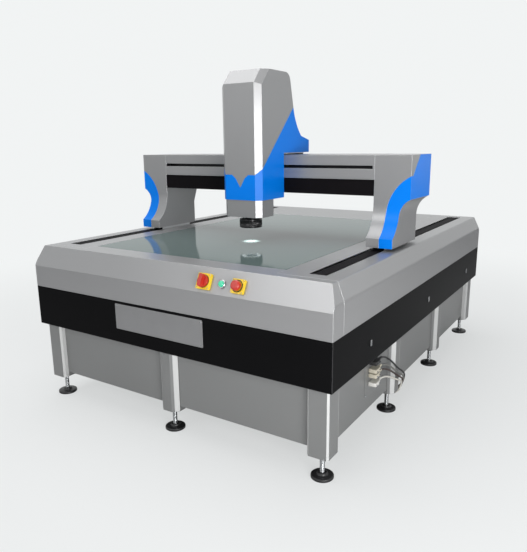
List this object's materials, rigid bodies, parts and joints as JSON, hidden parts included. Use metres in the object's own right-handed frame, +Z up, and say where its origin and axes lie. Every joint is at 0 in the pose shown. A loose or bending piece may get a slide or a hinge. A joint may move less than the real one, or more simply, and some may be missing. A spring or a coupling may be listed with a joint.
{
  "type": "gantry vision measuring machine",
  "caption": "Free-standing gantry video measuring machine: glass stage on a cabinet base, bridge travelling lengthwise, and a camera column that crosses it and lowers a ring-lit zoom lens.",
  "frame": {"origin": "on the floor at the middle of the base", "axes": "+Z up, +Y along the base's length to the rear, -Y to the operator"},
  "size_m": [1.612, 2.1463, 1.562],
  "materials": {
    "silver_paint": "satin silver paint",
    "black_paint": "glossy black paint",
    "grey_paint": "satin grey paint",
    "blue_paint": "satin blue paint",
    "black_sheet": "satin black coating",
    "granite": "lapped dark granite",
    "stage_glass": "polished plate glass",
    "diffuser": "opal diffuser",
    "anodised": "clear anodised",
    "black_anodised": "black anodised",
    "steel": "ground steel",
    "zinc": "bright plated steel",
    "frame_steel": "grey primer",
    "black_rubber": "moulded rubber",
    "black_plastic": "fine textured black",
    "yellow_plastic": "moulded yellow",
    "red_plastic": "moulded red",
    "green_lens": "clear green moulding",
    "beige_plastic": "moulded beige",
    "cable_black": "black sheath",
    "cable_grey": "grey sheath",
    "cable_white": "pale sheath"
  },
  "bodies": {
    "base": {"foot_pads": "black_rubber", "foot_studs": "zinc", "foot_nuts": "zinc", "leg_posts": "grey_paint", "cabinet_panels": "grey_paint", "base_frame": "frame_steel", "front_skirt": "black_paint", "skirt_panels": "black_paint", "skirt_latches": "zinc", "granite_bed": "granite", "stage_frame": "anodised", "stage_glass": "stage_glass", "backlight_panel": "diffuser", "front_cover": "silver_paint", "rear_cover": "silver_paint", "right_cover": "silver_paint", "left_cover": "silver_paint", "slot_bands": "black_sheet", "y_rails": "steel", "y_motor_tracks": "steel", "switch_plate": "yellow_plastic", "pilot_bezel": "zinc", "pilot_lens": "green_lens", "estop_plate": "yellow_plastic", "connector_plate": "grey_paint", "cable_hoods": "beige_plastic", "control_box": "grey_paint", "cable_upper": "cable_black", "cable_second": "cable_grey", "cable_third": "cable_grey", "cable_lower": "cable_white"},
    "gantry": {"y_carriages": "anodised", "y_blocks": "steel", "y_motor_coils": "black_plastic", "leg_columns": "anodised", "leg_covers": "silver_paint", "leg_trims": "blue_paint", "beam": "black_sheet", "beam_cover": "silver_paint", "x_rails": "steel", "x_motor_track": "steel"},
    "saddle": {"x_carriage": "anodised", "x_blocks": "steel", "x_motor_coil": "black_plastic", "column_cover": "silver_paint", "saddle_cover": "blue_paint", "z_rails": "steel", "screw_supports": "anodised", "z_motor": "black_plastic"},
    "z_unit": {"z_slide": "anodised", "z_blocks": "steel", "z_nut": "steel", "sleeve": "silver_paint", "camera": "black_anodised", "zoom_lens": "black_anodised", "ring_light": "black_anodised"},
    "z_screw": {"z_screw": "steel"},
    "main_switch": {"main_switch_knob": "red_plastic"},
    "estop": {"estop_button": "red_plastic"}
  },
  "joints": [
    {"name": "gantry_slide", "type": "slide", "parent": "base", "child": "gantry", "axis": [0, 1, 0], "range_m": [-0.318, 0.882]},
    {"name": "saddle_slide", "type": "slide", "parent": "gantry", "child": "saddle", "axis": [1, 0, 0], "range_m": [-0.493, 0.407]},
    {"name": "z_slide", "type": "slide", "parent": "saddle", "child": "z_unit", "axis": [0, 0, 1], "range_m": [-0.045, 0.155]},
    {"name": "z_screw_turn", "type": "hinge", "parent": "saddle", "child": "z_screw", "pos_m": [0.043, -0.34, 1.2], "axis": [0, 0, 1], "range_deg": [-1625, 5585]},
    {"name": "main_switch_turn", "type": "hinge", "parent": "base", "child": "main_switch", "pos_m": [0.238, -1.04098, 0.7093], "axis": [0, -0.9002, 0.4356], "range_deg": [-90, 0]},
    {"name": "estop_press", "type": "slide", "parent": "base", "child": "estop", "axis": [0, 0.9002, -0.4356], "range_m": [0, 0.005], "stiffness_N_per_m": 1200, "springref_m": -0.003}
  ],
  "couplings": [
    {"joint": "z_screw_turn", "follows": "z_slide", "rad_per_m": 628.32}
  ]
}
